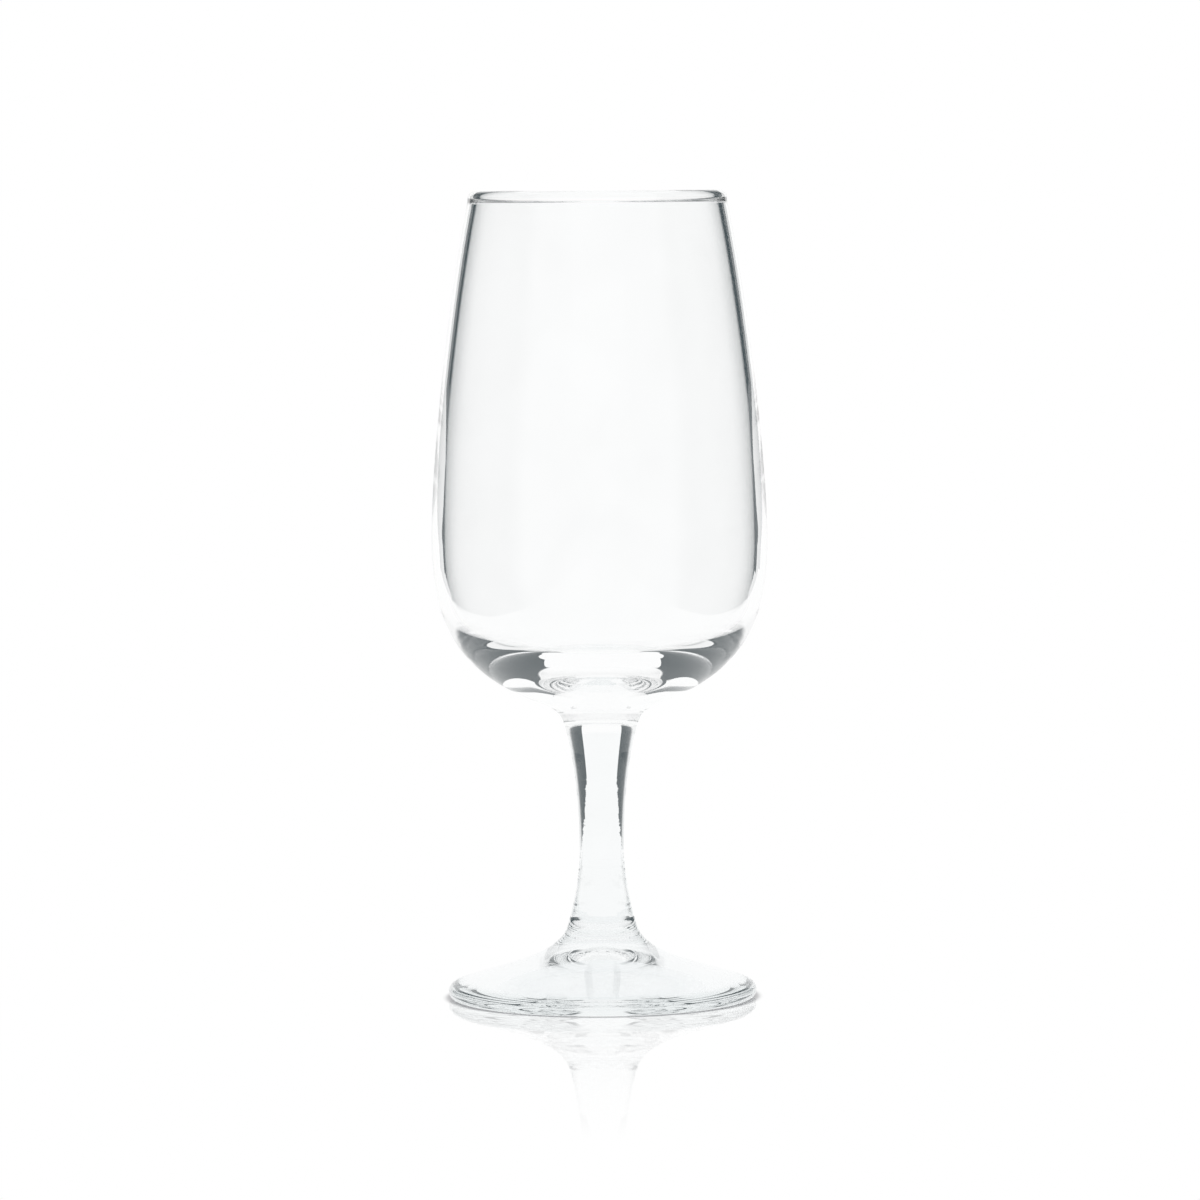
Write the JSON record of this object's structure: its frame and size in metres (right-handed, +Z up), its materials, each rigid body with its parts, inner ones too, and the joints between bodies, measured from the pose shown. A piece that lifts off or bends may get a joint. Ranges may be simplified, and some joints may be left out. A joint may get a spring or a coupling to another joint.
{
  "type": "nosing glass",
  "caption": "Stemmed clear-glass nosing glass: a tulip bowl with a narrowed mouth and fire-polished rim on a short drawn stem and a hollowed round foot.",
  "frame": {"origin": "on the glass's axis, on the surface that the foot's ring of contact stands on", "axes": "+Z up along the axis of revolution, from foot to rim; +X and +Y are any two square directions, because the glass is round"},
  "size_m": [0.0644, 0.0644, 0.155],
  "materials": {
    "bowl_glass": "clear, fire-polished",
    "stem_glass": "clear, fine chill ripples along the drawn stem",
    "foot_glass": "clear, pressed and fire-polished"
  },
  "bodies": {
    "root": {"bowl": "bowl_glass", "stem": "stem_glass", "foot": "foot_glass"}
  },
  "joints": []
}
